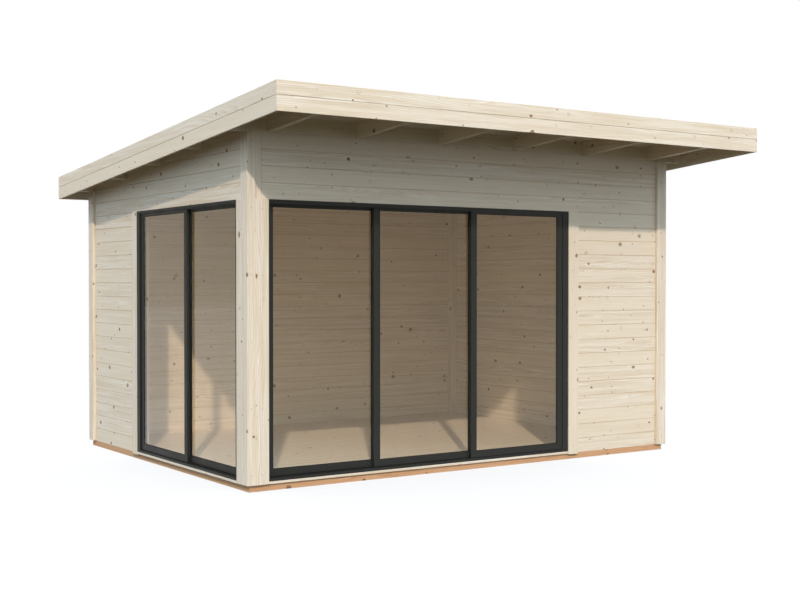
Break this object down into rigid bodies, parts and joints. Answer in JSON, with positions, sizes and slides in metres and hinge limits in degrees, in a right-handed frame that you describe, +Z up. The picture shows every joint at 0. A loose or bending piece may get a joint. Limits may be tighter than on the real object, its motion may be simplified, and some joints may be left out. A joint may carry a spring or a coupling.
{
  "type": "wooden garden shed",
  "caption": "Pent-roof garden shed of horizontal timber boards, with deep eaves, corner boards and sliding glass doors in dark frames round one corner.",
  "frame": {"origin": "centre of the body's footprint, at ground level on the underside of the middle floor joist", "axes": "+X to the right along the glazed front, +Y to the back, +Z up"},
  "size_m": [4.632, 4.23, 2.8169],
  "materials": {
    "spruce": "planed, pale",
    "base_timber": "pressure-treated, sawn",
    "floor_boards": "planed",
    "frame_metal": "powder-coated anthracite, satin",
    "tinted_glass": "tinted, clear",
    "glides": "matt",
    "roof_felt": "matt, fine mineral grain"
  },
  "bodies": {
    "shed": {"base_beams": "base_timber", "base_joists": "base_timber", "corner_boards_front_left": "spruce", "corner_boards_front_right": "spruce", "corner_boards_rear_left": "spruce", "corner_boards_rear_right": "spruce", "corner_post": "spruce", "door_frame": "frame_metal", "door_glass_1": "tinted_glass", "door_glides_1": "glides", "door_sash_1": "frame_metal", "fascia_front": "spruce", "fascia_left": "spruce", "fascia_rear": "spruce", "fascia_right": "spruce", "floor": "floor_boards", "front_lintel": "spruce", "front_wall": "spruce", "inner_linings": "spruce", "inner_posts": "spruce", "left_lintel": "spruce", "left_wall": "spruce", "lookouts": "spruce", "opening_trims": "spruce", "rafters": "spruce", "rear_wall": "spruce", "right_wall": "spruce", "roof_blocking": "spruce", "roof_deck": "spruce", "roof_felt": "roof_felt", "side_frame": "frame_metal", "side_glass_1": "tinted_glass", "side_glides_1": "glides", "side_sash_1": "frame_metal", "sills": "spruce", "sliding_tracks": "frame_metal"},
    "door_middle": {"door_glass_2": "tinted_glass", "door_glides_2": "glides", "door_sash_2": "frame_metal"},
    "door_outer": {"door_glass_3": "tinted_glass", "door_glides_3": "glides", "door_sash_3": "frame_metal"},
    "side_door": {"side_glass_2": "tinted_glass", "side_glides_2": "glides", "side_sash_2": "frame_metal"}
  },
  "joints": [
    {"name": "door_outer_slide", "type": "slide", "parent": "shed", "child": "door_outer", "axis": [-1, 0, 0], "range_m": [0, 1.819]},
    {"name": "door_middle_slide", "type": "slide", "parent": "shed", "child": "door_middle", "axis": [-1, 0, 0], "range_m": [0, 0.907]},
    {"name": "side_door_slide", "type": "slide", "parent": "shed", "child": "side_door", "axis": [0, -1, 0], "range_m": [0, 0.863]}
  ]
}
